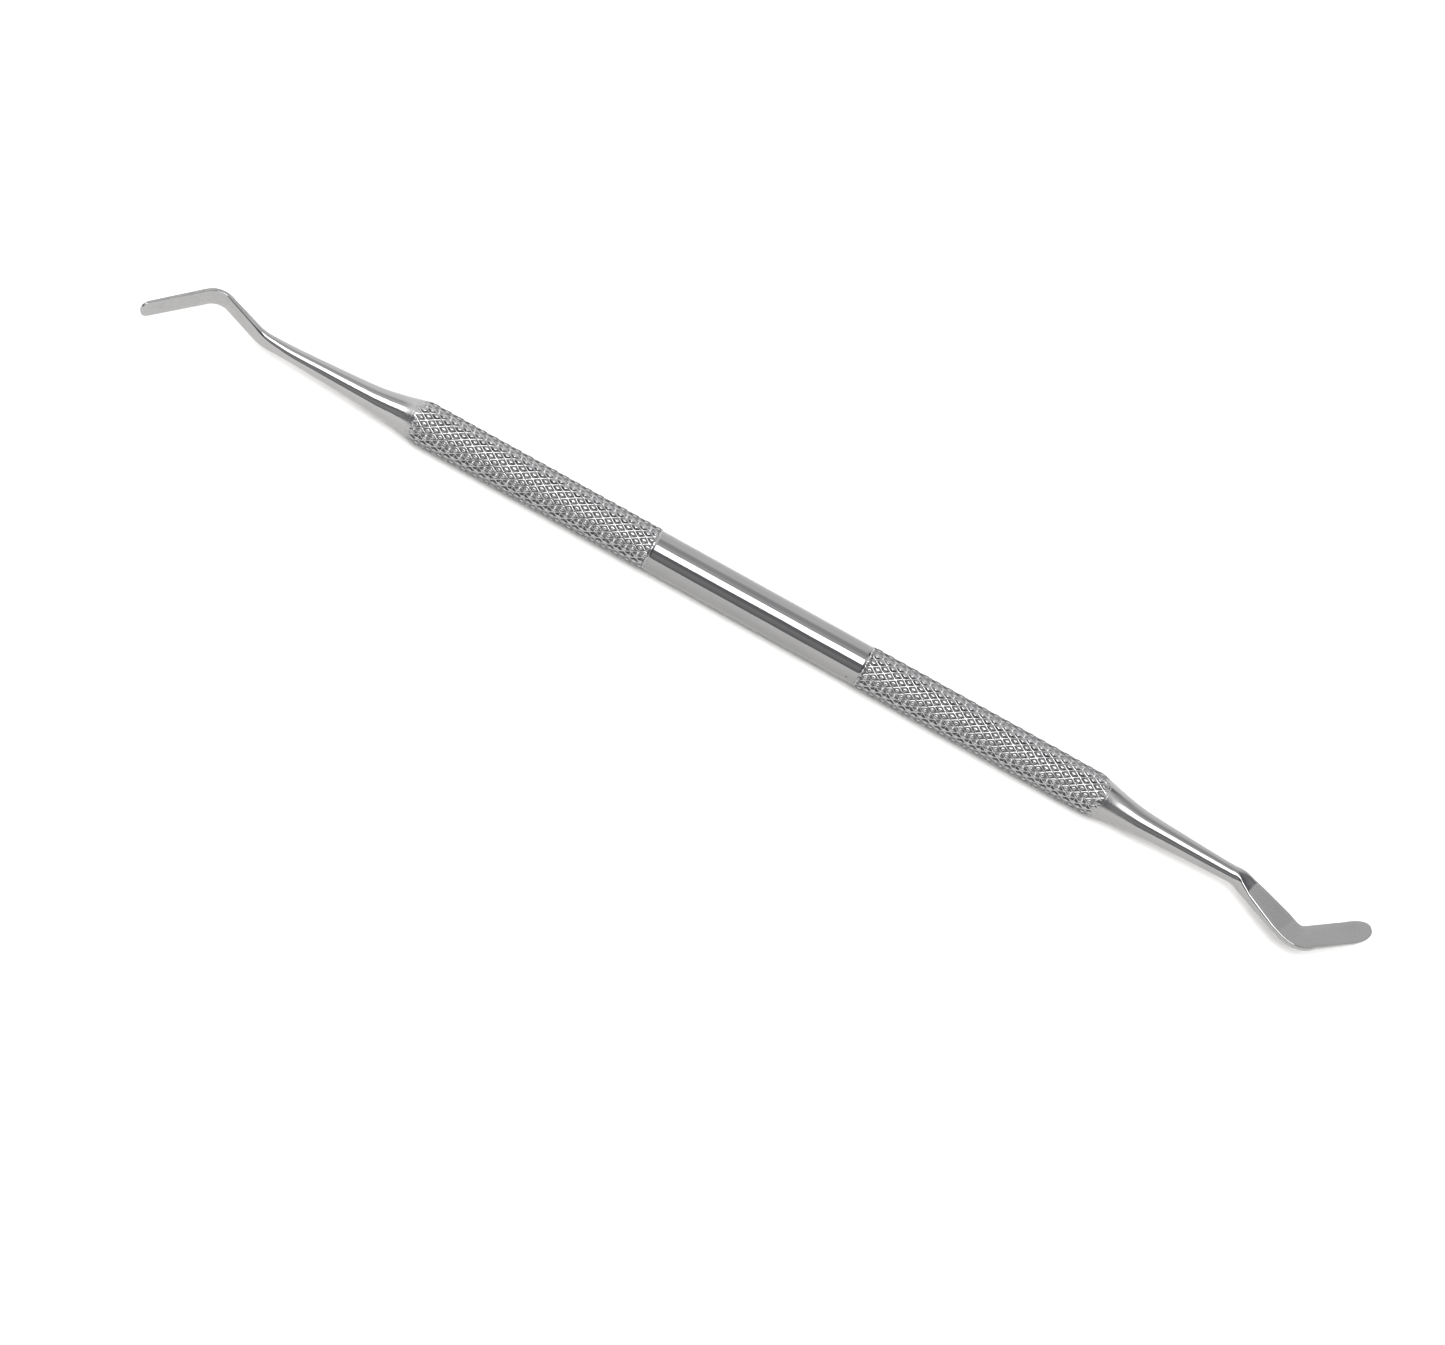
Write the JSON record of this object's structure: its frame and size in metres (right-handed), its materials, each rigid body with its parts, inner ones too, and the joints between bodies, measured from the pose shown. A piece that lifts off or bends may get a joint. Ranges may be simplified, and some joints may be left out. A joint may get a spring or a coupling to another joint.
{
  "type": "sculpting spatula",
  "caption": "Double-ended stainless steel sculpting spatula with a knurled round handle and two bent, round-tipped blades set square to each other.",
  "frame": {"origin": "on the handle's axis, halfway along the smooth band between the grips", "axes": "+X along the handle towards the flat blade, +Z square to the flat blade's face; both ends are bent in the XY plane"},
  "size_m": [0.1728, 0.0097, 0.0058],
  "materials": {
    "knurled_steel": "bright diamond knurl",
    "polished_steel": "turned and polished",
    "satin_steel": "polished shank, satin blade"
  },
  "bodies": {
    "root": {"handle": "knurled_steel", "flat_blade_end": "satin_steel", "upright_blade_end": "satin_steel"}
  },
  "joints": []
}
